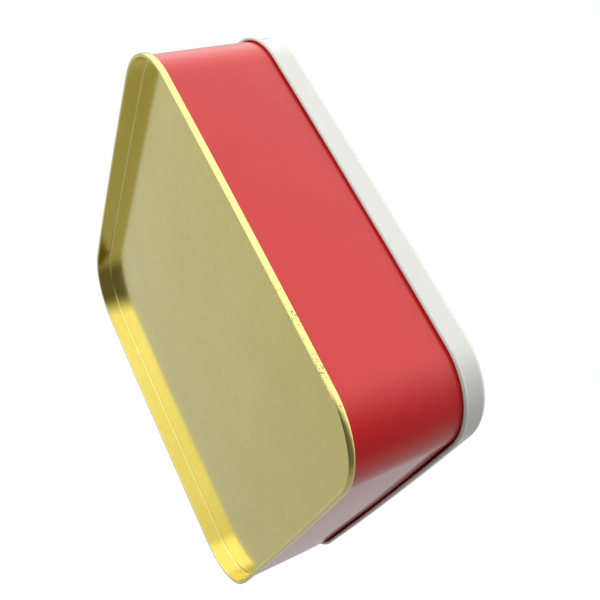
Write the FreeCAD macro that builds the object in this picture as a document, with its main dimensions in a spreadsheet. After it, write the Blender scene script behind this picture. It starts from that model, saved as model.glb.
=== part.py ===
import FreeCAD, Part
import math
import os
import Sketcher
from FreeCAD import Placement, Rotation, Vector

# A square slip-lid tin with rounded corners and slightly bowed sides, made of thin steel sheet.
# Millimetres, +Z up.
# Origin: centre of the footprint, on the plane the tin stands on.
#   body_wall  a strip bent round the rounded square, its ends hooked in a folded side seam
#   base_pan   a recessed pan whose rolled edge wraps the body's lower hook (double seam)
#   lid        a drawn cover with an outward curl, slipped over the body

SIZES = [
    ("wall_half", 100.0, "half of the outside width of the body wall, at mid side"),
    ("corner_radius", 28.5, "outside corner radius of the body wall, in plan"),
    ("side_radius", 4400.0, "radius of the slight outward bow of each side, in plan"),
    ("plate", 0.28, "thickness of the tinplate"),
    ("fold_gap", 0.06, "clearance between folded layers"),
    ("seam_height", 2.9, "height of the double seam round the base"),
    ("seam_round", 0.42, "centreline bend radius at the foot of the seam"),
    ("end_hook_low", 0.95, "lower tip of the pan's hook"),
    ("body_hook_top", 2.2, "upper tip of the body's hook"),
    ("recess_depth", 7.7, "height of the panel's underside over the standing plane"),
    ("recess_round", 0.95, "centreline bend radius where the pan's wall meets its panel"),
    ("panel_lap", 5.0, "width of the panel's margin made with the ring"),
    ("body_top", 61.1, "height of the body's curled mouth"),
    ("curl_outer", 0.8, "outside radius of a rolled curl"),
    ("body_wrap", 280.0, "angle of the body's inward curl"),
    ("lid_clearance", 0.22, "slip clearance between the lid's skirt and the body"),
    ("lid_edge", 50.72, "height of the lowest point of the lid's curl"),
    ("lid_wrap", 290.0, "angle of the lid's outward curl"),
    ("lid_top", 62.5, "height of the lid's top face"),
    ("shoulder", 2.2, "outside radius of the lid's shoulder"),
    ("lock_low", 8.4, "lower end of the folded side seam"),
    ("lock_high", 57.4, "upper end of the folded side seam"),
    ("lock_half", 1.38, "half length of a side-seam layer between its bends"),
    ("lock_free", 1.15, "reach of a side-seam hook's free edge past the middle"),
    ("lock_jog", 0.3, "bend radius of the side seam's joggle"),
    ("lock_cut", 2.75, "half width of the opening the side seam fills"),
    ("lock_start", 3.4, "distance from the middle at which the hooked ends join the wall"),
    ("lock_inset", 0.01, "step between the wall's face and the side seam's outer layer"),
]

doc = FreeCAD.newDocument("slip_lid_tin")
sheet = doc.addObject("Spreadsheet::Sheet", "dims")
VALUES = {}
for row, (alias, value, note) in enumerate(SIZES, start=1):
    sheet.set("A%d" % row, note)
    sheet.set("B%d" % row, str(value))
    sheet.setAlias("B%d" % row, alias)
    VALUES[alias] = value
doc.recompute()


class Dim:
    """A length held twice: its number, and the spreadsheet expression that gives it."""

    def __init__(self, number, text=None):
        self.number = float(number)
        self.text = text if text is not None else repr(float(number))

    @staticmethod
    def of(other):
        return other if isinstance(other, Dim) else Dim(other)

    def __add__(self, other):
        other = Dim.of(other)
        return Dim(self.number + other.number, "(%s + %s)" % (self.text, other.text))

    def __sub__(self, other):
        other = Dim.of(other)
        return Dim(self.number - other.number, "(%s - %s)" % (self.text, other.text))

    def __mul__(self, other):
        other = Dim.of(other)
        return Dim(self.number * other.number, "(%s * %s)" % (self.text, other.text))

    def __neg__(self):
        return Dim(-self.number, "(0 - %s)" % self.text)

    __radd__ = __add__
    __rmul__ = __mul__

    def __rsub__(self, other):
        return Dim.of(other) - self


def cell(alias):
    return Dim(VALUES[alias], "dims.%s" % alias)


def cos_of(angle):
    angle = Dim.of(angle)
    return Dim(math.cos(math.radians(angle.number)), "cos(%s)" % angle.text)


def sin_of(angle):
    angle = Dim.of(angle)
    return Dim(math.sin(math.radians(angle.number)), "sin(%s)" % angle.text)


def root_of(value):
    return Dim(math.sqrt(value.number), "sqrt(%s)" % value.text)


def angle_of(across, along):
    """Angle in degrees whose tangent is across / along."""
    return Dim(math.degrees(math.atan(across.number / along.number)),
               "(atan(%s / %s) / 1 deg)" % (across.text, along.text))


half = cell("wall_half")
corner = cell("corner_radius")
bow = cell("side_radius")
plate = cell("plate")
gap = cell("fold_gap")
pitch = plate + gap                      # one folded layer to the next

# The plan of the wall: four long, nearly straight arcs of radius bow, and four corner arcs that
# meet them at a tangent. The side's arc is centred far inside, on the axis at half - bow. The
# corner's is centred at (corner_at, corner_at). They meet swing degrees off the side's middle.
far = bow - half
corner_at = (root_of((bow - corner) * (bow - corner) * 2 - far * far) - far) * 0.5
swing = angle_of(corner_at, corner_at + far)


class Strip:
    """The section of a bent sheet: straight runs and tangent arcs of the sheet's mid-plane.

    Every run but the last follows a sketch axis, so each joint between runs is exact.
    """

    def __init__(self, x, y, heading):
        self.x, self.y = Dim.of(x), Dim.of(y)
        self.heading = heading           # 0, 90, 180 or 270 degrees
        self.left, self.right = [], []   # outlines on the two faces
        self.runs = []
        self._mark(Dim.of(heading), exact=heading)

    def _mark(self, heading, exact=None):
        reach = plate * 0.5
        if exact is not None:
            c, s = {0: (1, 0), 90: (0, 1), 180: (-1, 0), 270: (0, -1)}[exact % 360]
            dx, dy = reach * (-s), reach * c
        else:
            dx, dy = -(reach * sin_of(heading)), reach * cos_of(heading)
        self.left.append((self.x + dx, self.y + dy))
        self.right.append((self.x - dx, self.y - dy))

    def to(self, x=None, y=None):
        if x is not None:
            self.x = Dim.of(x)
        if y is not None:
            self.y = Dim.of(y)
        self.runs.append(("line",))
        self._mark(None, exact=self.heading)
        return self

    def bend(self, radius, turn):
        """turn: quarter turns, + to the left, - to the right; or a Dim of degrees for the last run."""
        radius = Dim.of(radius)
        side = 1
        free = isinstance(turn, tuple)
        if free:
            side, angle = turn
        else:
            side = 1 if turn > 0 else -1
            angle = Dim(abs(turn) * 90)
        nx, ny = {0: (0, 1), 90: (-1, 0), 180: (0, -1), 270: (1, 0)}[self.heading % 360]
        cx, cy = self.x + radius * (nx * side), self.y + radius * (ny * side)
        if free:
            begin = {0: -90, 90: 0, 180: 90, 270: 180}[self.heading % 360]
            if side < 0:
                begin += 180
            at = Dim(begin) + angle * side
            self.x, self.y = cx + radius * cos_of(at), cy + radius * sin_of(at)
            heading = at + 90 * side
            self.runs.append(("arc", cx, cy, radius, side))
            self._mark(heading)
            self.heading = None
        else:
            for _ in range(abs(turn)):
                ux, uy = {0: (1, 0), 90: (0, 1), 180: (-1, 0), 270: (0, -1)}[self.heading % 360]
                qx, qy = {0: (0, 1), 90: (-1, 0), 180: (0, -1), 270: (1, 0)}[self.heading % 360]
                self.x = self.x + radius * (ux + qx * side)
                self.y = self.y + radius * (uy + qy * side)
                self.heading = (self.heading + 90 * side) % 360
            self.runs.append(("arc", cx, cy, radius, side))
            self._mark(None, exact=self.heading)
        return self

    def area(self):
        """Exact area of the outline: mid-plane length times the sheet's thickness."""
        total = 0.0
        for run, a, b in zip(self.runs, self.mids()[:-1], self.mids()[1:]):
            if run[0] == "line":
                total += math.hypot(b[0] - a[0], b[1] - a[1])
            else:
                r = run[3].number
                a0 = math.atan2(a[1] - run[2].number, a[0] - run[1].number)
                a1 = math.atan2(b[1] - run[2].number, b[0] - run[1].number)
                sweep = (a1 - a0) * run[4]
                while sweep <= 1e-9:
                    sweep += 2 * math.pi
                total += sweep * r
        return total * plate.number

    def mids(self):
        return [((l[0].number + r[0].number) / 2, (l[1].number + r[1].number) / 2)
                for l, r in zip(self.left, self.right)]

    def draw(self, sketch):
        """Adds the closed outline to a sketch, every point and radius tied to the spreadsheet."""
        pieces = []                      # (start, end, arc or None)
        n = len(self.runs)
        for i in range(n):
            run = self.runs[i]
            arc = None
            if run[0] == "arc":
                arc = (run[1], run[2], run[3] + plate * (0.5 * run[4]), run[4])
            pieces.append((self.right[i], self.right[i + 1], arc))
        pieces.append((self.right[n], self.left[n], None))
        for i in reversed(range(n)):
            run = self.runs[i]
            arc = None
            if run[0] == "arc":
                arc = (run[1], run[2], run[3] - plate * (0.5 * run[4]), -run[4])
            pieces.append((self.left[i + 1], self.left[i], arc))
        pieces.append((self.left[0], self.right[0], None))
        draw_loop(sketch, pieces)


def tie_axis(sketch, geo, pos, kind, value):
    if abs(value.number) < 1e-9:
        axis = -2 if kind == "DistanceX" else -1
        sketch.addConstraint(Sketcher.Constraint("PointOnObject", geo, pos, axis))
        return
    index = sketch.addConstraint(Sketcher.Constraint(kind, -1, 1, geo, pos, value.number))
    sketch.setExpression("Constraints[%d]" % index, value.text)


def tie_point(sketch, geo, pos, point):
    tie_axis(sketch, geo, pos, "DistanceX", point[0])
    tie_axis(sketch, geo, pos, "DistanceY", point[1])


def draw_loop(sketch, pieces):
    """A closed loop of lines and arcs. Each joint is one shared point, tied to the spreadsheet."""
    ends = []                            # for each piece: geometry, start and end position, arc
    for start, end, arc in pieces:
        a = Vector(start[0].number, start[1].number, 0)
        b = Vector(end[0].number, end[1].number, 0)
        if arc is None:
            geo = sketch.addGeometry(Part.LineSegment(a, b), False)
            ends.append((geo, 1, 2, None))
        else:
            cx, cy, radius, side = arc
            centre = Vector(cx.number, cy.number, 0)
            a0 = math.atan2(a.y - centre.y, a.x - centre.x)
            a1 = math.atan2(b.y - centre.y, b.x - centre.x)
            if side < 0:
                a0, a1 = a1, a0
            while a1 <= a0 + 1e-9:
                a1 += 2 * math.pi
            circle = Part.Circle(centre, Vector(0, 0, 1), radius.number)
            geo = sketch.addGeometry(Part.ArcOfCircle(circle, a0, a1), False)
            ends.append((geo, 1, 2, arc) if side > 0 else (geo, 2, 1, arc))
    count = len(ends)
    for i in range(count):
        geo, _, stop, _ = ends[i]
        nxt = ends[(i + 1) % count]
        sketch.addConstraint(Sketcher.Constraint("Coincident", geo, stop, nxt[0], nxt[1]))
    for i in range(count):
        geo, start, _, arc = ends[i]
        tie_point(sketch, geo, start, pieces[i][0])
        if arc is not None:
            # the arc's centre can only slide square to its chord: one coordinate settles it
            a, b = pieces[i][0], pieces[i][1]
            wide = abs(b[0].number - a[0].number) > abs(b[1].number - a[1].number)
            tie_axis(sketch, geo, 3, "DistanceY" if wide else "DistanceX", arc[1] if wide else arc[0])


def plane_of(body, role):
    for feature in body.Origin.OriginFeatures:
        if feature.Role == role:
            return feature
    raise RuntimeError("no %s in %s" % (role, body.Name))


def sketch_on(body, name, role, lift=None):
    sketch = body.newObject("Sketcher::SketchObject", name)
    sketch.AttachmentSupport = [(plane_of(body, role), "")]
    sketch.MapMode = "FlatFace"
    if lift is not None:
        lift = Dim.of(lift)
        sketch.AttachmentOffset = Placement(Vector(0, 0, lift.number), Rotation())
        sketch.setExpression("AttachmentOffset.Base.z", lift.text)
    return sketch


def new_body(name):
    body = doc.addObject("PartDesign::Body", name)
    body.Label = name
    body.Placement = Placement(Vector(0, 0, 0), Rotation())
    return body


def pad(body, name, sketch, length, both_ways=False, backwards=False):
    feature = body.newObject("PartDesign::Pad", name)
    feature.Profile = sketch
    length = Dim.of(length)
    feature.Length = length.number
    feature.setExpression("Length", length.text)
    feature.Midplane = both_ways
    feature.Reversed = backwards
    feature.Refine = True
    doc.recompute()
    return feature


def turn_about(body, name, sketch, angle, both_ways, test):
    """Revolves a section about the sketch's own axis line, in whichever direction passes test."""
    turn = body.newObject("PartDesign::Revolution", name)
    turn.Profile = sketch
    turn.ReferenceAxis = (sketch, ["Axis0"])
    turn.Angle = angle.number
    turn.setExpression("Angle", angle.text)
    turn.Midplane = both_ways
    turn.Refine = True
    doc.recompute()
    if not test(turn.Shape.optimalBoundingBox()):
        turn.Reversed = True
        doc.recompute()
    if not test(turn.Shape.optimalBoundingBox()):
        raise RuntimeError("%s: turns the wrong way" % name)
    return turn


def add_axis(sketch, x):
    axis = sketch.addGeometry(
        Part.LineSegment(Vector(x.number, 1, 0), Vector(x.number, 21, 0)), True)
    tie_point(sketch, axis, 1, (x, Dim(1)))
    tie_point(sketch, axis, 2, (x, Dim(21)))


def ring(body, name, strip):
    """The strip's section carried all the way round the bowed, rounded square: one side and one
    corner, repeated four times about the tin's axis."""
    side_sketch = sketch_on(body, name + "_section", "XZ_Plane")
    add_axis(side_sketch, -far)
    strip.draw(side_sketch)
    doc.recompute()
    side = turn_about(body, name + "_side", side_sketch, swing * 2, True,
                      lambda box: abs(box.YMax + box.YMin) < 0.01)

    # the same section, moved to the end of the side's arc and turned with it
    shift = bow - half
    at_x = bow * cos_of(swing) - shift - half * cos_of(swing)
    at_y = bow * sin_of(swing) - half * sin_of(swing)
    corner_sketch = sketch_on(body, name + "_corner_section", "XZ_Plane")
    corner_sketch.AttachmentOffset = Placement(
        Vector(at_x.number, 0, -at_y.number), Rotation(Vector(0, 1, 0), swing.number))
    corner_sketch.setExpression("AttachmentOffset.Base.x", at_x.text)
    corner_sketch.setExpression("AttachmentOffset.Base.z", (-at_y).text)
    corner_sketch.setExpression("AttachmentOffset.Rotation.Angle", swing.text)
    add_axis(corner_sketch, half - corner)
    strip.draw(corner_sketch)
    doc.recompute()
    turn = turn_about(body, name + "_corner", corner_sketch, Dim(90) - swing * 2, False,
                      lambda box: box.YMax > half.number - 6.0)

    pattern = body.newObject("PartDesign::PolarPattern", name + "_round")
    pattern.Originals = [side, turn]
    pattern.Axis = (plane_of(body, "Z_Axis"), [""])
    pattern.Angle = 360.0
    pattern.Occurrences = 4
    pattern.Refine = True
    body.Tip = pattern
    doc.recompute()
    return pattern


def rounded_square(sketch, size, radius):
    """Outline of a rounded square of half width size, centred on the sketch's origin."""
    flat = size - radius
    zero = Dim(0)
    pieces = [
        ((-flat, -size), (flat, -size), None),
        ((flat, -size), (size, -flat), (flat, -flat, radius, 1)),
        ((size, -flat), (size, flat), None),
        ((size, flat), (flat, size), (flat, flat, radius, 1)),
        ((flat, size), (-flat, size), None),
        ((-flat, size), (-size, flat), (-flat, flat, radius, 1)),
        ((-size, flat), (-size, -flat), None),
        ((-size, -flat), (-flat, -size), (-flat, -flat, radius, 1)),
    ]
    draw_loop(sketch, pieces)


# Offsets of the folded layers from the body wall's outside face, at mid-thickness, outside in
at_seam_wall = gap * 3 + plate * 2.5     # pan: outside wall of the seam
at_body_hook = gap * 2 + plate * 1.5     # body: its flange, rolled up
at_end_hook = gap + plate * 0.5          # pan: its edge, rolled down behind the body hook
at_wall = -(plate * 0.5)                 # body: the wall itself
at_chuck = -(gap + plate * 1.5)          # pan: the wall of the recess, inside the body

# ---------------------------------------------------------------- base pan
base = new_body("base_pan")
seam_crown = cell("seam_height") - plate * 0.5 - pitch
foot = cell("seam_round")
panel_mid = cell("recess_depth") + plate * 0.5
recess_round = cell("recess_round")
pan_strip = (
    Strip(half + at_end_hook, cell("end_hook_low"), 90)
    .to(y=seam_crown)
    .bend(pitch, -2)
    .to(y=plate * 0.5 + foot)
    .bend(foot, -1)
    .to(x=half + at_chuck + foot)
    .bend(foot, -1)
    .to(y=panel_mid - recess_round)
    .bend(recess_round, 1)
    .to(x=half - cell("panel_lap"))
)
ring(base, "pan_rim", pan_strip)
panel_half = half - cell("panel_lap") * 0.6
panel_sketch = sketch_on(base, "panel_outline", "XY_Plane", cell("recess_depth"))
rounded_square(panel_sketch, panel_half, corner - cell("panel_lap") * 0.6)
doc.recompute()
pad(base, "panel", panel_sketch, plate)

# ---------------------------------------------------------------- body wall
wall = new_body("body_wall")
hook_floor = plate * 1.5 + gap + pitch   # centre of the body hook's bend
mouth_mid = cell("body_top") - cell("curl_outer")
curl_mid = cell("curl_outer") - plate * 0.5
wall_strip = (
    Strip(half + at_body_hook, cell("body_hook_top"), 270)
    .to(y=hook_floor)
    .bend(pitch, -2)
    .to(y=mouth_mid)
    .bend(curl_mid, (1, cell("body_wrap")))
)
wall_ring = ring(wall, "wall_ring", wall_strip)

# The side seam, on the middle of the +Y side: the wall is opened, and its two ends are hooked
# into each other, four layers deep, flush outside and standing in as a flat rib inside.
cut = cell("lock_cut")
open_sketch = sketch_on(wall, "lock_opening", "XY_Plane", cell("lock_low"))
outer, inner = half + 1.0, half - 1.0
draw_loop(open_sketch, [
    ((-cut, inner), (cut, inner), None),
    ((cut, inner), (cut, outer), None),
    ((cut, outer), (-cut, outer), None),
    ((-cut, outer), (-cut, inner), None),
])
doc.recompute()
pocket = wall.newObject("PartDesign::Pocket", "lock_slot")
pocket.Profile = open_sketch
lock_span = cell("lock_high") - cell("lock_low")
pocket.Length = lock_span.number
pocket.setExpression("Length", lock_span.text)
pocket.Reversed = True
pocket.Refine = True
doc.recompute()
removed = wall_ring.Shape.Volume - pocket.Shape.Volume
expected = 2 * cut.number * plate.number * lock_span.number
if abs(removed - expected) > 0.02 * expected:
    pocket.Reversed = False
    doc.recompute()
    removed = wall_ring.Shape.Volume - pocket.Shape.Volume
if abs(removed - expected) > 0.02 * expected:
    raise RuntimeError("side seam: the opening removed %.2f, not %.2f" % (removed, expected))

lock_half, lock_free, jog = cell("lock_half"), cell("lock_free"), cell("lock_jog")
start = cell("lock_start")
flush = half + at_wall - cell("lock_inset")
bend_out = lock_half + pitch + plate * 0.5 + gap + plate * 0.5   # middle of the joggle
lock_sketch = sketch_on(wall, "lock_section", "XY_Plane", cell("lock_low"))
first_end = (
    Strip(-start, flush, 0)
    .to(x=lock_half)
    .bend(pitch, -2)
    .to(x=-lock_free)
)
second_end = (
    Strip(start, flush, 180)
    .to(x=bend_out + jog)
    .bend(jog, 1)
    .to(y=flush - pitch * 3 + jog)
    .bend(jog, -1)
    .to(x=-lock_half)
    .bend(pitch, -2)
    .to(x=lock_free)
)
first_end.draw(lock_sketch)
second_end.draw(lock_sketch)
doc.recompute()
pad(wall, "lock_seam", lock_sketch, lock_span)

# ---------------------------------------------------------------- lid
lid = new_body("lid")
skirt = half + cell("lid_clearance") + plate * 0.5
shoulder_mid = cell("shoulder") - plate * 0.5
lid_strip = (
    Strip(half - cell("panel_lap"), cell("lid_top") - plate * 0.5, 0)
    .to(x=skirt - shoulder_mid)
    .bend(shoulder_mid, -1)
    .to(y=cell("lid_edge") + cell("curl_outer"))
    .bend(curl_mid, (1, cell("lid_wrap")))
)
ring(lid, "lid_ring", lid_strip)
top_sketch = sketch_on(lid, "lid_outline", "XY_Plane", cell("lid_top") - plate)
rounded_square(top_sketch, panel_half, corner - cell("panel_lap") * 0.6)
doc.recompute()
pad(lid, "lid_panel", top_sketch, plate)

# ---------------------------------------------------------------- checks and files
doc.recompute()


def perimeter():
    sides = 8 * bow.number * math.radians(swing.number)
    return sides + corner.number * math.radians(360 - 8 * swing.number)


faults = []
for item in doc.Objects:
    if "Invalid" in item.State or "Error" in item.State:
        faults.append("%s: %s" % (item.Name, item.State))
for body in (base, wall, lid):
    shape = body.Shape
    if shape.isNull() or not shape.isValid():
        faults.append("%s: bad shape" % body.Name)
    elif len(shape.Solids) != 1:
        faults.append("%s: %d solids" % (body.Name, len(shape.Solids)))
for sketch in [o for o in doc.Objects if o.TypeId == "Sketcher::SketchObject"]:
    if sketch.solve() != 0:
        faults.append("%s: does not solve" % sketch.Name)
if faults:
    raise RuntimeError("; ".join(faults))

for body, strip in ((base, pan_strip), (wall, wall_strip), (lid, lid_strip)):
    box = body.Shape.optimalBoundingBox()
    print("%s volume %.1f mm3, section %.3f mm2, box x %.3f..%.3f y %.3f..%.3f z %.3f..%.3f"
          % (body.Label, body.Shape.Volume, strip.area(), box.XMin, box.XMax, box.YMin, box.YMax,
             box.ZMin, box.ZMax))
run = wall_strip.area() * perimeter()
print("body ring %.1f mm3, section times path %.1f mm3" % (wall_ring.Shape.Volume, run))
if abs(wall_ring.Shape.Volume / run - 1) > 0.01:
    raise RuntimeError("the body ring's volume is not its section times its path")

os.makedirs("parts", exist_ok=True)
for body in (base, wall, lid):
    body.Shape.exportStep("parts/%s.step" % body.Label)
print("wrote", sorted(os.listdir("parts")))
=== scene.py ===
import math

import bpy
import numpy as np
from mathutils import Matrix, Vector


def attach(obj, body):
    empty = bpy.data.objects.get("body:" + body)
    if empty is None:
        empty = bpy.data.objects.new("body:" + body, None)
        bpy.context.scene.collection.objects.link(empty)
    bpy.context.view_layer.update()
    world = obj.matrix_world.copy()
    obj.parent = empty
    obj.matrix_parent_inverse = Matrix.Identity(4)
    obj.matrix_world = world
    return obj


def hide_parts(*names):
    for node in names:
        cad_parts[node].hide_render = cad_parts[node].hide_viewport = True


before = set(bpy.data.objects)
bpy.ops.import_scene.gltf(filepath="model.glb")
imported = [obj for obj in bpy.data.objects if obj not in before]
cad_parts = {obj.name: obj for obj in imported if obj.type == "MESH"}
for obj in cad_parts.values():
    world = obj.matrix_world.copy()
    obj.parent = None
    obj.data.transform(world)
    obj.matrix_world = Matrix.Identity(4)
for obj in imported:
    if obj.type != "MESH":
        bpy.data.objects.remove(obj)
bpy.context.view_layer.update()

scene = bpy.context.scene
MM = 0.001

# ------------------------------------------------------------------ sizes, in millimetres
HALF = 100.0          # half width of the body wall at mid side
CORNER = 28.5         # outside corner radius of the wall, in plan
BOW = 4400.0          # radius of each side's slight outward bow
T = 0.28              # tinplate
GAP = 0.06            # between folded layers
PITCH = T + GAP
SEAM_H = 2.9
RECESS = 7.7
BODY_TOP = 61.1
CURL = 0.8
LID_GAP = 0.22
LID_EDGE = 50.72
LID_TOP = 62.5
SHOULDER = 2.2
LOCK_LOW, LOCK_HIGH = 8.4, 57.4


# ------------------------------------------------------------------ plan path
FAR = BOW - HALF
CC = (math.sqrt(2 * (BOW - CORNER) ** 2 - FAR ** 2) - FAR) / 2
SWING = math.atan2(CC, CC + FAR)


def smooth(a, b, x):
    t = np.clip((x - a) / (b - a), 0.0, 1.0)
    return t * t * (3 - 2 * t)


def side_angles(width, columns=()):
    """Angles along one side, from -SWING to SWING, evenly spaced, with extra columns (mm)."""
    n = max(4, int(round(2 * CC / width)))
    s = set(np.linspace(-CC, CC, n + 1).round(4))
    for c in columns:
        near = [v for v in s if abs(v - c) < width * 0.3 and abs(abs(v) - CC) > 0.01]
        s -= set(near)
        s.add(round(float(c), 4))
    out = []
    for v in sorted(s):
        if abs(abs(v) - CC) < 0.001:
            out.append(math.copysign(SWING, v))
        else:
            out.append(math.asin(v / BOW))
    return out


class Path:
    """The bowed, rounded square: base points, outward normals and a running length."""

    def __init__(self, width=2.4, corner_steps=36, columns=()):
        base, normal, kind, bend = [], [], [], []
        for k in range(4):
            turn = k * math.pi / 2
            c, s = math.cos(turn), math.sin(turn)
            extra = columns if k == 1 else ()
            if k == 1:
                extra = [-v for v in extra]
            for a in side_angles(width, extra)[:-1]:
                x, y = -FAR + BOW * math.cos(a), BOW * math.sin(a)
                nx, ny = math.cos(a), math.sin(a)
                base.append((x * c - y * s, x * s + y * c))
                normal.append((nx * c - ny * s, nx * s + ny * c))
                kind.append(k)
                bend.append(0.0)
            for a in np.linspace(SWING, math.pi / 2 - SWING, corner_steps + 1)[:-1]:
                nx, ny = math.cos(a), math.sin(a)
                x, y = CC + CORNER * nx, CC + CORNER * ny
                base.append((x * c - y * s, x * s + y * c))
                normal.append((nx * c - ny * s, nx * s + ny * c))
                kind.append(k + 0.5)
                bend.append(math.sin((a - SWING) / (math.pi / 2 - 2 * SWING) * math.pi))
        self.base = np.array(base)
        self.normal = np.array(normal)
        self.kind = np.array(kind)
        self.bend = np.array(bend)           # 0 on the sides, rising to 1 at mid corner
        step = np.linalg.norm(np.roll(self.base, -1, 0) - self.base, axis=1)
        self.length = float(step.sum())
        self.run = np.concatenate([[0], np.cumsum(step)[:-1]])
        self.n = len(base)

    def at(self, offset, z):
        """Points (n, 3) at this offset from the wall's outside face and this height."""
        p = self.base + self.normal * offset
        return np.column_stack([p, np.full(self.n, z)])


# ------------------------------------------------------------------ section of a bent sheet
class Strip:
    """Mid-plane of a bent sheet in (offset, z), with its two faces."""

    def __init__(self, x, z, heading, thick=T):
        self.p = np.array([x, z], float)
        self.h = math.radians(heading)
        self.t = thick
        self.mid, self.head = [], []
        self.keep(self.p, self.h)

    def keep(self, p, h):
        self.mid.append(np.array(p, float))
        self.head.append(h)

    def line(self, length, step=4.0, lead=0.12):
        d = np.array([math.cos(self.h), math.sin(self.h)])
        marks = [lead, length - lead] if length > 3 * lead else []
        n = int(length / step)
        marks += [length * i / (n + 1) for i in range(1, n + 1)]
        for m in sorted(m for m in marks if 0 < m < length):
            self.keep(self.p + d * m, self.h)
        self.p = self.p + d * length
        self.keep(self.p, self.h)
        return self

    def to(self, x=None, z=None, **kw):
        goal = self.p.copy()
        if x is not None:
            goal[0] = x
        if z is not None:
            goal[1] = z
        return self.line(float(np.linalg.norm(goal - self.p)), **kw)

    def bend(self, radius, degrees, steps=None):
        side = 1 if degrees > 0 else -1
        n = steps or max(4, int(abs(degrees) / 11))
        centre = self.p + radius * side * np.array([-math.sin(self.h), math.cos(self.h)])
        h0 = self.h
        for i in range(1, n + 1):
            h = h0 + math.radians(degrees) * i / n
            q = centre + radius * side * np.array([math.sin(h), -math.cos(h)])
            self.keep(q, h)
        self.p, self.h = self.mid[-1].copy(), h
        return self

    def faces(self):
        m, h = np.array(self.mid), np.array(self.head)
        nrm = np.column_stack([-np.sin(h), np.cos(h)])
        return m + nrm * self.t / 2, m - nrm * self.t / 2     # left, right


AT_SEAM = 3 * GAP + 2.5 * T
AT_HOOK = 2 * GAP + 1.5 * T
AT_END = GAP + 0.5 * T
AT_WALL = -0.5 * T
AT_CHUCK = -(GAP + 1.5 * T)
CROWN = SEAM_H - T / 2 - PITCH


# ------------------------------------------------------------------ small shape errors of real sheet
def waves(x, y, seeds):
    """A smooth, repeatable undulation, roughly -1..1."""
    v = 0.0
    for kx, ky, ph, w in seeds:
        v = v + w * np.sin(kx * x + ky * y + ph)
    return v


WALL_SEEDS = [(0.031, 0.060, 0.4, .40), (0.057, -0.083, 2.1, .28), (0.093, 0.045, 4.0, .2),
              (0.017, 0.15, 1.3, .15)]
PANEL_SEEDS = [(0.021, 0.034, 0.7, .45), (0.052, -0.029, 1.9, .28), (-0.036, 0.071, 3.3, .2),
               (0.095, 0.081, 5.0, .10)]


def wall_wave(path, z):
    """Outward displacement of the wall, in mm, for each path point at height z."""
    fade = (1 - path.bend) * 0.085 + 0.01
    up = 0.25 + 0.75 * math.sin(math.pi * min(max((z - 1) / 59.0, 0), 1))
    whole = 2 * math.pi / path.length
    v = 0
    for kx, kz, ph, w in WALL_SEEDS:
        k = round(kx / whole) * whole                 # whole waves round the tin
        v = v + w * np.sin(k * path.run + kz * z + ph)
    return v * fade * up


def panel_wave(x, y, deep):
    """Vertical displacement of a panel, in mm. deep: distance inside the rim, mm."""
    return waves(x, y, PANEL_SEEDS) * 0.10 * smooth(0.5, 22.0, deep)


def seam_ripple(path):
    """The rolled seam is gathered at the corners: fine, uneven puckers a few mm apart."""
    r = path.run
    whole = 2 * math.pi / path.length
    fine = (np.sin(round(1.35 / whole) * whole * r + 0.6) * 0.5
            + np.sin(round(2.3 / whole) * whole * r + 2.2 + 0.8 * np.sin(0.11 * r)) * 0.5)
    slow = np.sin(round(0.09 / whole) * whole * r + 1.0)
    return fine * (0.004 + 0.030 * path.bend) + slow * 0.012


# ------------------------------------------------------------------ mesh assembly
class Builder:
    def __init__(self):
        self.verts, self.quads, self.mats = [], [], []
        self.count = 0

    def add(self, points):
        points = np.asarray(points, float)
        start = self.count
        self.verts.append(points)
        self.count += len(points)
        return np.arange(start, self.count)

    def band(self, a, b, mat, wrap=True, skip=None):
        """Quads between two rows of vertex indices."""
        n = len(a)
        for k in range(n if wrap else n - 1):
            if skip is not None and k in skip:
                continue
            m = (k + 1) % n
            self.face((a[k], a[m], b[m], b[k]), mat)

    def face(self, ids, mat):
        self.quads.append(tuple(int(i) for i in ids))
        self.mats.append(mat)

    def build(self, name, materials):
        mesh = bpy.data.meshes.new(name)
        co = np.concatenate(self.verts) * MM
        mesh.from_pydata(co.tolist(), [], self.quads)
        for m in materials:
            mesh.materials.append(m)
        mesh.polygons.foreach_set("material_index", self.mats)
        mesh.update()
        obj = bpy.data.objects.new(name, mesh)
        scene.collection.objects.link(obj)
        import bmesh
        bm = bmesh.new()
        bm.from_mesh(mesh)
        bmesh.ops.recalc_face_normals(bm, faces=bm.faces)
        for f in bm.faces:
            f.smooth = True
        # a raw cut edge of the sheet stays crisp
        for e in bm.edges:
            if len(e.link_faces) == 2 and e.calc_face_angle(0.0) > math.radians(50):
                e.smooth = False
        bm.to_mesh(mesh)
        bm.free()
        mesh.update()
        return obj


def panel_rings(build, path, first_left, first_right, offset, z_left, z_right, mats, rings, wave):
    """Closes a ring towards its middle with two skins of the panel, out to in."""
    start = path.at(offset, 0.0)[:, :2]
    rows_l, rows_r = [first_left], [first_right]
    for s in rings:
        xy = start * (1 - s)
        deep = np.full(path.n, 1.0) * 100.0 * s
        dz = wave(xy[:, 0], xy[:, 1], deep)
        rows_l.append(build.add(np.column_stack([xy, z_left + dz])))
        rows_r.append(build.add(np.column_stack([xy, z_right + dz])))
    for rows, mat in ((rows_l, mats[0]), (rows_r, mats[1])):
        for a, b in zip(rows[:-1], rows[1:]):
            build.band(a, b, mat)
    mid = wave(np.array([0.0]), np.array([0.0]), np.array([100.0]))[0]
    for rows, z, mat in ((rows_l, z_left, mats[0]), (rows_r, z_right, mats[1])):
        hub = build.add([[0, 0, z + mid]])[0]
        last = rows[-1]
        for k in range(len(last)):
            build.face((last[k], last[(k + 1) % len(last)], hub), mat)


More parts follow.
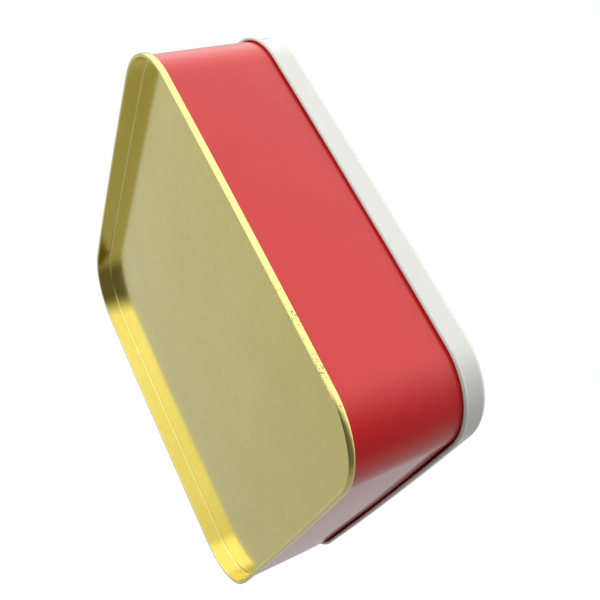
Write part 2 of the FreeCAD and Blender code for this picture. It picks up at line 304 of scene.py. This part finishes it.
# ------------------------------------------------------------------ materials
def material(name):
    m = bpy.data.materials.new(name)
    m.use_nodes = True
    nt = m.node_tree
    for n in list(nt.nodes):
        nt.nodes.remove(n)
    out = nt.nodes.new("ShaderNodeOutputMaterial")
    bsdf = nt.nodes.new("ShaderNodeBsdfPrincipled")
    nt.links.new(bsdf.outputs[0], out.inputs[0])
    return m, nt, bsdf


def coords(nt, scale=1000.0):
    """Position on the object, in millimetres."""
    tc = nt.nodes.new("ShaderNodeTexCoord")
    v = nt.nodes.new("ShaderNodeVectorMath")
    v.operation = "SCALE"
    v.inputs["Scale"].default_value = scale
    nt.links.new(tc.outputs["Object"], v.inputs[0])
    return v.outputs[0]


def noise(nt, vec, scale, detail=3.0, rough=0.5, stretch=None, distortion=0.0):
    if stretch is not None:
        mp = nt.nodes.new("ShaderNodeMapping")
        mp.inputs["Scale"].default_value = stretch
        nt.links.new(vec, mp.inputs["Vector"])
        vec = mp.outputs[0]
    n = nt.nodes.new("ShaderNodeTexNoise")
    n.inputs["Scale"].default_value = scale
    n.inputs["Detail"].default_value = detail
    n.inputs["Roughness"].default_value = rough
    n.inputs["Distortion"].default_value = distortion
    nt.links.new(vec, n.inputs["Vector"])
    return n.outputs["Fac"]


def ramp(nt, fac, stops, interp="LINEAR"):
    r = nt.nodes.new("ShaderNodeValToRGB")
    r.color_ramp.interpolation = interp
    els = r.color_ramp.elements
    while len(els) > 1:
        els.remove(els[-1])
    els[0].position, els[0].color = stops[0][0], (*stops[0][1], 1)
    for pos, col in stops[1:]:
        e = els.new(pos)
        e.color = (*col, 1)
    nt.links.new(fac, r.inputs["Fac"])
    return r.outputs["Color"]


def remap(nt, value, a, b, c, d, smoothstep=False):
    r = nt.nodes.new("ShaderNodeMapRange")
    r.interpolation_type = "SMOOTHSTEP" if smoothstep else "LINEAR"
    r.inputs["From Min"].default_value = a
    r.inputs["From Max"].default_value = b
    r.inputs["To Min"].default_value = c
    r.inputs["To Max"].default_value = d
    nt.links.new(value, r.inputs["Value"])
    return r.outputs["Result"]


def maths(nt, op, a, b=None):
    m = nt.nodes.new("ShaderNodeMath")
    m.operation = op
    for i, v in enumerate((a, b)):
        if v is None:
            continue
        if isinstance(v, (int, float)):
            m.inputs[i].default_value = v
        else:
            nt.links.new(v, m.inputs[i])
    return m.outputs[0]


def mix_color(nt, fac, a, b, mode="MIX"):
    m = nt.nodes.new("ShaderNodeMix")
    m.data_type = "RGBA"
    m.blend_type = mode
    for sock, v in (("Factor", fac), ("A", a), ("B", b)):
        inputs = [i for i in m.inputs if i.name == sock and i.enabled]
        s = inputs[0]
        if isinstance(v, (int, float)):
            s.default_value = v
        elif isinstance(v, tuple):
            s.default_value = (*v, 1)
        else:
            nt.links.new(v, s)
    return [o for o in m.outputs if o.enabled][0]


def bump(nt, height, strength, distance, normal=None):
    b = nt.nodes.new("ShaderNodeBump")
    b.inputs["Strength"].default_value = strength
    b.inputs["Distance"].default_value = distance
    nt.links.new(height, b.inputs["Height"])
    if normal is not None:
        nt.links.new(normal, b.inputs["Normal"])
    return b.outputs[0]


def split(nt, vec):
    s = nt.nodes.new("ShaderNodeSeparateXYZ")
    nt.links.new(vec, s.inputs[0])
    return s.outputs


def gold_lacquer():
    m, nt, b = material("gold_lacquer_tinplate")
    p = coords(nt)
    cloud = noise(nt, p, 0.035, 4, 0.55)
    grain = noise(nt, p, 0.9, 3, 0.6, stretch=(1.0, 0.06, 1.0))
    mottle = noise(nt, p, 0.35, 5, 0.62)
    tint = ramp(nt, cloud, [(0.30, (0.865, 0.765, 0.275)), (0.72, (0.90, 0.805, 0.315))])
    tint = mix_color(nt, maths(nt, "MULTIPLY", remap(nt, mottle, 0.42, 0.75, 0, 1), 0.22), tint,
                     (0.72, 0.65, 0.25))
    # scuffs where the rolled seam has rubbed: bare, darkened steel in small patches
    x, y, z = split(nt, p)
    spot = noise(nt, p, 1.1, 5, 0.75)
    patch = noise(nt, p, 0.05, 2, 0.5)
    # most of it at the front right, where the tin has stood on its edge
    there = maths(nt, "MULTIPLY", remap(nt, x, 22, 45, 0, 1, True), remap(nt, y, -94, -99, 0, 1, True))
    where = maths(nt, "ADD", remap(nt, patch, 0.42, 0.60, 0, 0.5, True), maths(nt, "MULTIPLY", there, 0.5))
    worn = maths(nt, "ADD", spot, maths(nt, "MULTIPLY", where, 0.12))
    worn = remap(nt, worn, 0.655, 0.70, 0, 1, True)
    worn = maths(nt, "MULTIPLY", worn, remap(nt, z, 3.2, 2.6, 0, 1, True))
    radial = maths(nt, "MAXIMUM", maths(nt, "ABSOLUTE", x), maths(nt, "ABSOLUTE", y))
    worn = maths(nt, "MULTIPLY", worn, remap(nt, radial, 99.3, 99.7, 0, 1, True))
    tint = mix_color(nt, worn, tint, (0.10, 0.09, 0.06))
    nt.links.new(tint, b.inputs["Base Color"])
    b.inputs["Metallic"].default_value = 1.0
    rough = remap(nt, mottle, 0.3, 0.8, 0.12, 0.19)
    rough = maths(nt, "ADD", rough, maths(nt, "MULTIPLY", worn, 0.35))
    nt.links.new(rough, b.inputs["Roughness"])
    b.inputs["Coat Weight"].default_value = 0.2
    b.inputs["Coat Roughness"].default_value = 0.10
    b.inputs["Coat IOR"].default_value = 1.5
    n1 = bump(nt, mottle, 0.03, 0.0003)
    n2 = bump(nt, grain, 0.02, 0.0001, n1)
    nt.links.new(n2, b.inputs["Normal"])
    return m


def red_enamel():
    m, nt, b = material("red_printed_enamel")
    p = coords(nt)
    cloud = noise(nt, p, 0.02, 3, 0.5)
    peel = noise(nt, p, 0.55, 4, 0.6)
    fine = noise(nt, p, 3.0, 2, 0.5)
    tint = ramp(nt, cloud, [(0.3, (0.75, 0.012, 0.014)), (0.7, (0.79, 0.015, 0.018))])
    speck = remap(nt, fine, 0.72, 0.80, 0, 0.25, True)
    tint = mix_color(nt, speck, tint, (0.45, 0.01, 0.012))
    x, y, z = split(nt, p)
    # the print is rubbed just above the rolled base seam
    chip = remap(nt, noise(nt, p, 1.9, 4, 0.75), 0.64, 0.68, 0, 1, True)
    near = remap(nt, z, 4.2, 3.0, 0, 1, True)
    rub = maths(nt, "MULTIPLY", chip, near)
    tint = mix_color(nt, rub, tint, (0.30, 0.03, 0.03))
    nt.links.new(tint, b.inputs["Base Color"])
    nt.links.new(remap(nt, peel, 0.3, 0.75, 0.30, 0.38), b.inputs["Roughness"])
    b.inputs["IOR"].default_value = 1.5
    b.inputs["Specular IOR Level"].default_value = 0.15
    b.inputs["Coat Weight"].default_value = 1.0
    b.inputs["Coat Roughness"].default_value = 0.05
    b.inputs["Coat IOR"].default_value = 1.5
    n1 = bump(nt, peel, 0.06, 0.0002)
    nt.links.new(n1, b.inputs["Normal"])
    nt.links.new(bump(nt, peel, 0.035, 0.0002), b.inputs["Coat Normal"])
    return m


def white_enamel(name, gloss, level):
    m, nt, b = material(name)
    p = coords(nt)
    cloud = noise(nt, p, 0.025, 3, 0.5)
    peel = noise(nt, p, 0.55, 4, 0.6)
    speck = remap(nt, noise(nt, p, 2.4, 3, 0.6), 0.74, 0.80, 0, 0.35, True)
    tint = ramp(nt, cloud, [(0.3, (level - 0.02, level - 0.018, level - 0.055)),
                            (0.7, (level + 0.01, level + 0.010, level - 0.025))])
    tint = mix_color(nt, speck, tint, (0.62, 0.62, 0.60))
    nt.links.new(tint, b.inputs["Base Color"])
    nt.links.new(remap(nt, peel, 0.3, 0.75, 0.28, 0.36), b.inputs["Roughness"])
    b.inputs["IOR"].default_value = 1.5
    b.inputs["Coat Weight"].default_value = 1.0
    b.inputs["Coat Roughness"].default_value = gloss
    nt.links.new(bump(nt, peel, 0.05, 0.0002), b.inputs["Normal"])
    nt.links.new(bump(nt, peel, 0.03, 0.0002), b.inputs["Coat Normal"])
    return m


def plain_tin():
    m, nt, b = material("plain_tinplate")
    p = coords(nt)
    cloud = noise(nt, p, 0.06, 4, 0.6)
    grain = noise(nt, p, 1.2, 3, 0.6, stretch=(1.0, 1.0, 0.05))
    tint = ramp(nt, cloud, [(0.3, (0.66, 0.665, 0.66)), (0.7, (0.76, 0.765, 0.76))])
    nt.links.new(tint, b.inputs["Base Color"])
    b.inputs["Metallic"].default_value = 1.0
    nt.links.new(remap(nt, grain, 0.3, 0.75, 0.22, 0.34), b.inputs["Roughness"])
    nt.links.new(bump(nt, grain, 0.05, 0.0001), b.inputs["Normal"])
    return m


GOLD, RED, TIN = gold_lacquer(), red_enamel(), plain_tin()
WHITE = white_enamel("white_printed_enamel", 0.07, 0.89)
WHITE_IN = white_enamel("white_inner_coat", 0.16, 0.83)


# ------------------------------------------------------------------ base pan
def make_base():
    path = Path(width=2.0, corner_steps=48)
    strip = (Strip(AT_END, 0.95, 90).to(z=CROWN)
             .bend(PITCH, -180, 14)
             .to(z=T / 2 + 0.42, step=0.22).bend(0.42, -90, 10)
             .to(x=AT_CHUCK + 0.42).bend(0.42, -90, 10)
             .to(z=RECESS + T / 2 - 0.95).bend(0.95, 90, 10)
             .to(x=-5.0, step=1.2))
    left, right = strip.faces()
    ripple = seam_ripple(path)
    build = Builder()

    def row(p):
        e, z = p
        shift = wall_wave(path, max(z, 0.5)) * 0.4
        seam = smooth(-0.45, 0.5, e) * smooth(0.15, 0.9, z)      # outer wall of the seam only
        if e > 0.6:                                               # rolled, so it bulges a little
            e = e + 0.10 * max(0.0, 1 - ((z - 1.49) / 1.05) ** 2)
        pts = path.at(0.0, z)
        pts[:, :2] += path.normal * (e + shift * smooth(-3.0, -1.0, e) + ripple * seam)[:, None]
        if e < -1.2:
            pts[:, 2] += panel_wave(pts[:, 0], pts[:, 1], np.full(path.n, -e - 1.2))
        return build.add(pts)

    rl, rr = [row(p) for p in left], [row(p) for p in right]
    for rows in (rl, rr):
        for a, b in zip(rows[:-1], rows[1:]):
            build.band(a, b, 0)
    build.band(rl[0], rr[0], 1)
    rings = [0.02, 0.045, 0.08, 0.12, 0.165, 0.215, 0.27, 0.33, 0.39, 0.45, 0.51, 0.57, 0.63, 0.69,
             0.75, 0.81, 0.86, 0.91, 0.955, 0.985]

    def wave(x, y, deep):
        return panel_wave(x, y, deep + 3.8)

    panel_rings(build, path, rl[-1], rr[-1], -5.0, RECESS, RECESS + T, (0, 0), rings, wave)
    obj = build.build("base_pan_pressed", [GOLD, TIN])
    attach(obj, "tin_body")
    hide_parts("base_pan")
    return obj


# ------------------------------------------------------------------ body wall
def hook(points):
    s = Strip(*points[0])
    for kind, *args in points[1:]:
        if kind == "line":
            s.line(args[0], step=9.0, lead=0.08)
        else:
            s.bend(*args)
    return s.faces()


def make_wall():
    cut = 2.75
    path = Path(width=2.4, corner_steps=44, columns=(-cut, cut))
    strip = (Strip(AT_HOOK, 2.2, 270).to(z=1.5 * T + GAP + PITCH)
             .bend(PITCH, -180, 14))
    # the wall itself, in rows that hold the ends of the side seam
    marks = [1.0, 1.6, LOCK_LOW - 0.01, LOCK_LOW + 0.03]
    marks += list(np.linspace(11.0, 55.0, 19)) + [LOCK_HIGH - 0.03, LOCK_HIGH + 0.01]
    marks += [58.6, BODY_TOP - CURL - 0.12, BODY_TOP - CURL]
    for z in marks:
        strip.p = np.array([AT_WALL, z])
        strip.keep(strip.p, strip.h)
    strip.bend(CURL - T / 2, 280, 30)
    left, right = strip.faces()
    build = Builder()

    def row(p):
        e, z = p
        shift = wall_shift(path, z)
        pts = path.at(0.0, z)
        pts[:, :2] += path.normal * (e + shift)[:, None]
        return build.add(pts)

    rl, rr = [row(p) for p in left], [row(p) for p in right]
    # columns of the opening on the +Y side
    at_cut = [k for k in range(path.n)
              if path.kind[k] == 1 and abs(abs(path.base[k][0]) - cut) < 0.01]
    assert len(at_cut) == 2, at_cut
    k0, k1 = min(at_cut), max(at_cut)            # x = +cut first, then x = -cut
    skip_cols = set(range(k0, k1))
    heights = [p[1] for p in strip.mid]
    wall_rows = [i for i, p in enumerate(strip.mid)
                 if abs(p[0] - AT_WALL) < 1e-6 and LOCK_LOW - 0.05 < p[1] < LOCK_HIGH + 0.05]
    r0, r1 = wall_rows[0], wall_rows[-1]
    for rows, mat in ((rl, 1), (rr, 0)):
        for i, (a, b) in enumerate(zip(rows[:-1], rows[1:])):
            build.band(a, b, mat, skip=skip_cols if r0 <= i < r1 else None)
    build.band(rl[0], rr[0], 1)                                   # raw edge inside the seam
    build.band(rl[-1], rr[-1], 1)                                 # raw edge inside the curl
    for r in (r0, r1):                                            # ends of the opening
        for k in range(k0, k1):
            build.face((rl[r][k], rl[r][k + 1], rr[r][k + 1], rr[r][k]), 1)
    for k in (k0, k1):                                            # its sides, past the hooks' ends
        for a, b in ((r0, r0 + 1), (r1 - 1, r1)):
            build.face((rl[a][k], rl[b][k], rr[b][k], rr[a][k]), 1)

    # the two hooked ends. Local plan axes: u along the wall towards +X, v = offset (+ outwards)
    lock_half, free, jog = 1.38, 1.15, 0.3
    jog_mid = lock_half + PITCH + T + GAP
    ends = []
    # first end comes from -X: heading +u, turns inward twice, runs back
    s = Strip(-cut, AT_WALL, 0)
    s.to(x=lock_half, step=2.0, lead=0.08).bend(PITCH, -180, 12).to(x=-free, step=2.0, lead=0.08)
    ends.append((s, k1))
    # second end comes from +X: heading -u, steps in by three layers, runs on, turns back outward
    s = Strip(cut, AT_WALL, 180)
    s.to(x=jog_mid + jog, step=2.0, lead=0.08).bend(jog, 90, 6)
    s.to(z=AT_WALL - 3 * PITCH + jog, step=2.0, lead=0.05).bend(jog, -90, 6)
    s.to(x=-lock_half, step=2.0, lead=0.08).bend(PITCH, -180, 12).to(x=free, step=2.0, lead=0.08)
    ends.append((s, k0))
    mid_y = HALF
    rows_z = list(range(r0 + 1, r1))
    for s, k in ends:
        l, r = s.faces()
        # v > 0 is outward: for a strip heading +u its left side is outward, heading -u its right side
        outward, inward = (l, r) if k == k1 else (r, l)
        loops = []
        for i in rows_z:
            z = heights[i]
            shift = float(wall_shift(path, z)[k])
            ou = build.add([[p[0], mid_y + p[1] + shift, z] for p in outward[1:]])
            inn = build.add([[p[0], mid_y + p[1] + shift, z] for p in inward[1:]])
            out_row = rr[i][k]
            in_row = rl[i][k]
            loops.append((np.concatenate([[out_row], ou]), np.concatenate([[in_row], inn])))
        for (oa, ia), (ob, ib) in zip(loops[:-1], loops[1:]):
            build.band(oa, ob, 0, wrap=False)
            build.band(ia, ib, 1, wrap=False)
            build.face((oa[-1], ob[-1], ib[-1], ia[-1]), 1)
        for o, i_ in (loops[0], loops[-1]):
            for a in range(len(o) - 1):
                build.face((o[a], o[a + 1], i_[a + 1], i_[a]), 1)
    obj = build.build("body_wall_printed", [RED, TIN])
    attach(obj, "tin_body")
    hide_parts("body_wall")
    return obj


def wall_shift(path, z):
    shift = wall_wave(path, z)
    # nothing may lean on the pan's rim or rub the lid
    shift = shift * (0.4 + 0.6 * smooth(4.0, 14.0, z)) * (1 - 0.75 * smooth(47.0, 52.0, z))
    # the long sides draw in a little towards the curled rim
    whole = 2 * math.pi / path.length
    uneven = 0.85 + 0.25 * np.sin(round(0.045 / whole) * whole * path.run + 2.6)
    return shift - 0.24 * uneven * smooth(35.0, 50.0, z) * (1 - 0.7 * path.bend)


# ------------------------------------------------------------------ lid
def make_lid():
    path = Path(width=2.4, corner_steps=48)
    skirt = LID_GAP + T / 2
    bend = SHOULDER - T / 2
    strip = (Strip(-7.0, LID_TOP - T / 2, 0).to(x=skirt - bend, step=1.6)
             .bend(bend, -90, 16)
             .to(z=LID_EDGE + CURL, step=1.3)
             .bend(CURL - T / 2, 290, 32))
    left, right = strip.faces()
    build = Builder()
    whole = 2 * math.pi / path.length
    sway = (np.sin(round(0.03 / whole) * whole * path.run + 2.0) * 0.6
            + np.sin(round(0.075 / whole) * whole * path.run + 0.3) * 0.4) * (1 - path.bend) * 0.05

    def row(p):
        e, z = p
        pts = path.at(0.0, z)
        pts[:, :2] += path.normal * (e + sway * smooth(62.2, 58.0, z) * smooth(-3.0, -0.5, e))[:, None]
        if e < -2.2:
            pts[:, 2] += lid_wave(pts[:, 0], pts[:, 1], np.full(path.n, -e - 2.2))
        return build.add(pts)

    def lid_wave(x, y, deep):
        # pressed inwards, never above the flat rim
        lift = (waves(y, x, PANEL_SEEDS) - 1.0) * 0.035
        return lift * smooth(0.0, 25.0, deep)

    rl, rr = [row(p) for p in left], [row(p) for p in right]
    for i, (a, b) in enumerate(zip(rl[:-1], rl[1:])):
        build.band(a, b, 0)
    for a, b in zip(rr[:-1], rr[1:]):
        build.band(a, b, 1)
    build.band(rl[-1], rr[-1], 1)
    rings = [0.02, 0.045, 0.08, 0.12, 0.17, 0.225, 0.29, 0.36, 0.43, 0.50, 0.57, 0.64, 0.71, 0.78,
             0.85, 0.91, 0.96, 0.985]
    panel_rings(build, path, rl[0], rr[0], -7.0, LID_TOP, LID_TOP - T, (0, 1), rings,
                lambda x, y, deep: lid_wave(x, y, deep + 4.8))
    obj = build.build("lid_printed", [WHITE, WHITE_IN])
    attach(obj, "lid_body")
    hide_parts("lid")
    return obj


base, wall, lid = make_base(), make_wall(), make_lid()


# ------------------------------------------------------------------ floor, light and camera
def make_floor():
    mesh = bpy.data.meshes.new("floor")
    r = 4.0
    mesh.from_pydata([(-r, -r, 0), (r, -r, 0), (r, r, 0), (-r, r, 0)], [], [(0, 1, 2, 3)])
    obj = bpy.data.objects.new("floor", mesh)
    scene.collection.objects.link(obj)
    m = bpy.data.materials.new("pale_floor")
    m.use_nodes = True
    nt = m.node_tree
    for n in list(nt.nodes):
        nt.nodes.remove(n)
    out = nt.nodes.new("ShaderNodeOutputMaterial")
    face = nt.nodes.new("ShaderNodeBsdfDiffuse")
    face.inputs["Color"].default_value = (0.86, 0.86, 0.855, 1)
    clear = nt.nodes.new("ShaderNodeBsdfTransparent")
    geo = nt.nodes.new("ShaderNodeNewGeometry")
    mix = nt.nodes.new("ShaderNodeMixShader")
    nt.links.new(geo.outputs["Backfacing"], mix.inputs[0])
    nt.links.new(face.outputs[0], mix.inputs[1])
    nt.links.new(clear.outputs[0], mix.inputs[2])
    nt.links.new(mix.outputs[0], out.inputs[0])
    mesh.materials.append(m)
    # seen from above only, and it neither shades nor shows in the tin, whose underside is on view
    obj.visible_diffuse = False
    obj.visible_glossy = False
    obj.visible_transmission = False
    obj.visible_shadow = False
    return obj


make_floor()

# plain soft studio surround: broad light at the front left, a dimmer grey back, low ambient
def make_world():
    w = bpy.data.worlds.new("studio")
    scene.world = w
    w.use_nodes = True
    nt = w.node_tree
    for n in list(nt.nodes):
        nt.nodes.remove(n)
    out = nt.nodes.new("ShaderNodeOutputWorld")
    tc = nt.nodes.new("ShaderNodeTexCoord")
    d = tc.outputs["Generated"]
    x, y, z = split(nt, d)

    def mul(*values):
        total = values[0]
        for v in values[1:]:
            total = maths(nt, "MULTIPLY", total, v)
        return total

    def step(value, a, b, c=0.0, d_=1.0):
        return remap(nt, value, a, b, c, d_, True)

    # one broad soft source at the front left, a dimmer grey back, and a little light all round
    lean = maths(nt, "SUBTRACT", maths(nt, "MULTIPLY", x, 0.743),
                 maths(nt, "MULTIPLY", maths(nt, "MAXIMUM", z, 0.0), 0.669))
    front = mul(step(lean, -0.45, 0.35, 1.30, 0.0), step(y, -0.05, 0.55, 1.0, 0.0))
    back = mul(remap(nt, x, -1.0, 1.0, 0.54, 0.20), step(y, -0.05, 0.55))
    total = maths(nt, "ADD", maths(nt, "ADD", front, back), step(z, -0.8, -0.1, 0.06, 0.13))
    light = nt.nodes.new("ShaderNodeBackground")
    light.inputs["Color"].default_value = (1.0, 0.998, 0.975, 1)
    nt.links.new(total, light.inputs["Strength"])
    plain = nt.nodes.new("ShaderNodeBackground")
    plain.inputs["Color"].default_value = (1.0, 1.0, 1.0, 1)
    plain.inputs["Strength"].default_value = 1.0
    lp = nt.nodes.new("ShaderNodeLightPath")
    mix = nt.nodes.new("ShaderNodeMixShader")
    nt.links.new(lp.outputs["Is Camera Ray"], mix.inputs[0])
    nt.links.new(light.outputs[0], mix.inputs[1])
    nt.links.new(plain.outputs[0], mix.inputs[2])
    nt.links.new(mix.outputs[0], out.inputs[0])


make_world()
scene.view_settings.view_transform = "Standard"
scene.view_settings.look = "None"

cam_data = bpy.data.cameras.new("camera")
cam = bpy.data.objects.new("camera", cam_data)
scene.collection.objects.link(cam)
cam_data.sensor_width = 36.0
cam_data.lens = 48.2988
cam_data.clip_start = 0.01
cam_data.clip_end = 50.0
right = Vector((0.4444318861948501, -0.29207591197697885, 0.8468600593817754))
up = -Vector((0.8272215751851821, 0.4966022194476625, -0.2628511007924482))
back = -Vector((-0.34378011007246184, 0.8173603227967895, 0.46231735705691845))
eye = Vector((0.13364799218, -0.32942721326, -0.12274550261))
cam.matrix_world = Matrix(((right.x, up.x, back.x, eye.x), (right.y, up.y, back.y, eye.y),
                           (right.z, up.z, back.z, eye.z), (0, 0, 0, 1)))
scene.camera = cam

bpy.context.view_layer.update()
